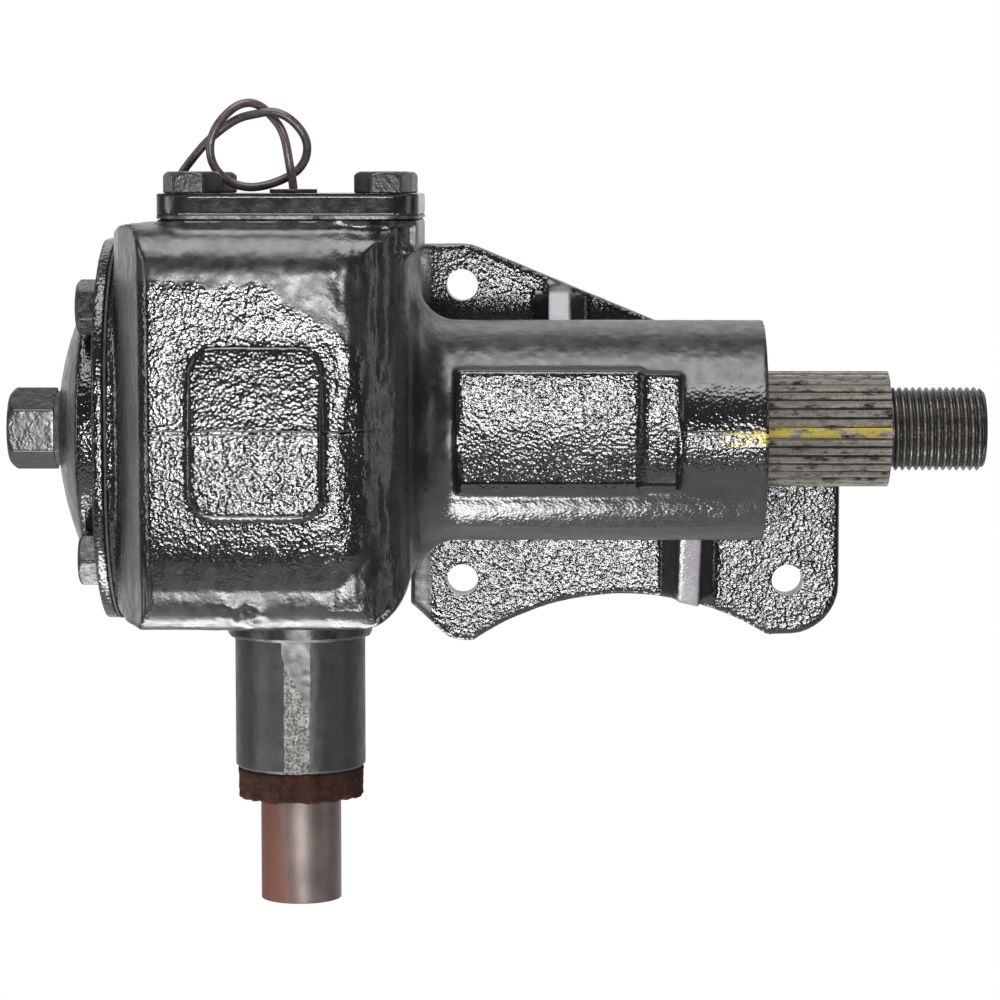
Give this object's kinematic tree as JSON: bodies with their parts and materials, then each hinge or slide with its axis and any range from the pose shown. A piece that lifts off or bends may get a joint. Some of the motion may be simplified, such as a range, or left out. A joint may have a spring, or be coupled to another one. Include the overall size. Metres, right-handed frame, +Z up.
{
  "type": "steering gearbox",
  "caption": "Manual worm-and-roller steering gear in a cast housing, with a flanged sector tube, a serrated output shaft, bolted covers and a hollow steering shaft.",
  "frame": {"origin": "on the flange's mounting face, behind the sector shaft's axis, in line with the two inboard holes", "axes": "+X along the sector shaft to its serrated end, +Y out of the mounting face, +Z up, away from the steering shaft's end"},
  "size_m": [0.2595, 0.1346, 0.2035],
  "materials": {
    "enamelled_iron": "glossy black enamel over rough casting",
    "enamelled_steel": "black enamel, thin at the edges",
    "gasket": "oiled paper and fibre",
    "bare_steel": "plain",
    "dark_steel": "dark, oiled, with traces of enamel",
    "gear_steel": "ground and hardened",
    "rusty_steel": "grey with red-brown rust on one side",
    "bush_bronze": "machined bronze",
    "terminal_brass": "tinned",
    "seal_rubber": "matte",
    "felt": "frayed red-brown felt",
    "wire_cover": "aged insulation"
  },
  "bodies": {
    "gearbox": {"housing": "enamelled_iron", "side_cover": "enamelled_iron", "side_cover_gasket": "gasket", "side_cover_bolts": "enamelled_steel", "adjuster_washer": "gasket", "adjuster_cap_nut": "enamelled_steel", "end_cover": "enamelled_iron", "end_cover_shims": "bare_steel", "end_cover_bolts": "enamelled_steel", "horn_tube": "bare_steel", "horn_tube_ferrule": "wire_cover", "horn_wire_inner": "wire_cover", "horn_wire": "wire_cover", "horn_wire_terminal": "terminal_brass", "neck_dust_seal": "felt", "steering_shaft_bushing": "bush_bronze", "end_bearing_cup": "gear_steel", "neck_bearing_cup": "gear_steel", "sector_bushing_inner": "bush_bronze", "sector_bushing_outer": "bush_bronze", "sector_seal": "seal_rubber"},
    "steering": {"steering_shaft": "rusty_steel", "worm": "gear_steel", "end_bearing_cone": "gear_steel", "neck_bearing_cone": "gear_steel"},
    "end_roller_row": {"end_bearing_rollers": "gear_steel", "end_bearing_cage": "bush_bronze"},
    "neck_roller_row": {"neck_bearing_rollers": "gear_steel", "neck_bearing_cage": "bush_bronze"},
    "sector": {"sector_shaft": "dark_steel", "roller_pin": "gear_steel", "roller_washers": "bush_bronze"},
    "drive_roller": {"roller": "gear_steel"},
    "needle_row": {"roller_needles": "gear_steel"},
    "adjuster": {"adjuster_screw": "bare_steel"}
  },
  "joints": [
    {"name": "steering_turn", "type": "hinge", "parent": "gearbox", "child": "steering", "pos_m": [-0.0394, -0.096, 0], "axis": [0, 0, 1], "range_deg": [-576, 576]},
    {"name": "sector_swing", "type": "hinge", "parent": "gearbox", "child": "sector", "pos_m": [0, -0.05, 0], "axis": [1, 0, 0], "range_deg": [-32, 32]},
    {"name": "roller_spin", "type": "hinge", "parent": "sector", "child": "drive_roller", "pos_m": [-0.0394, -0.0685, 0], "axis": [0.0872, 0, 0.9962], "range_deg": [-600, 600]},
    {"name": "needle_roll", "type": "hinge", "parent": "sector", "child": "needle_row", "pos_m": [-0.0394, -0.0685, 0], "axis": [0.0872, 0, 0.9962], "range_deg": [-350, 350]},
    {"name": "end_bearing_roll", "type": "hinge", "parent": "gearbox", "child": "end_roller_row", "pos_m": [-0.0394, -0.096, 0.033], "axis": [0, 0, 1], "range_deg": [-245, 245]},
    {"name": "neck_bearing_roll", "type": "hinge", "parent": "gearbox", "child": "neck_roller_row", "pos_m": [-0.0394, -0.096, -0.033], "axis": [0, 0, 1], "range_deg": [-245, 245]},
    {"name": "adjuster_turn", "type": "hinge", "parent": "gearbox", "child": "adjuster", "pos_m": [-0.09, -0.05, 0], "axis": [1, 0, 0], "range_deg": [-180, 180]}
  ],
  "couplings": [
    {"joint": "sector_swing", "follows": "steering_turn", "ratio": 0.055555},
    {"joint": "roller_spin", "follows": "steering_turn", "ratio": -1.04},
    {"joint": "needle_roll", "follows": "steering_turn", "ratio": -0.605},
    {"joint": "end_bearing_roll", "follows": "steering_turn", "ratio": 0.42},
    {"joint": "neck_bearing_roll", "follows": "steering_turn", "ratio": 0.42}
  ]
}
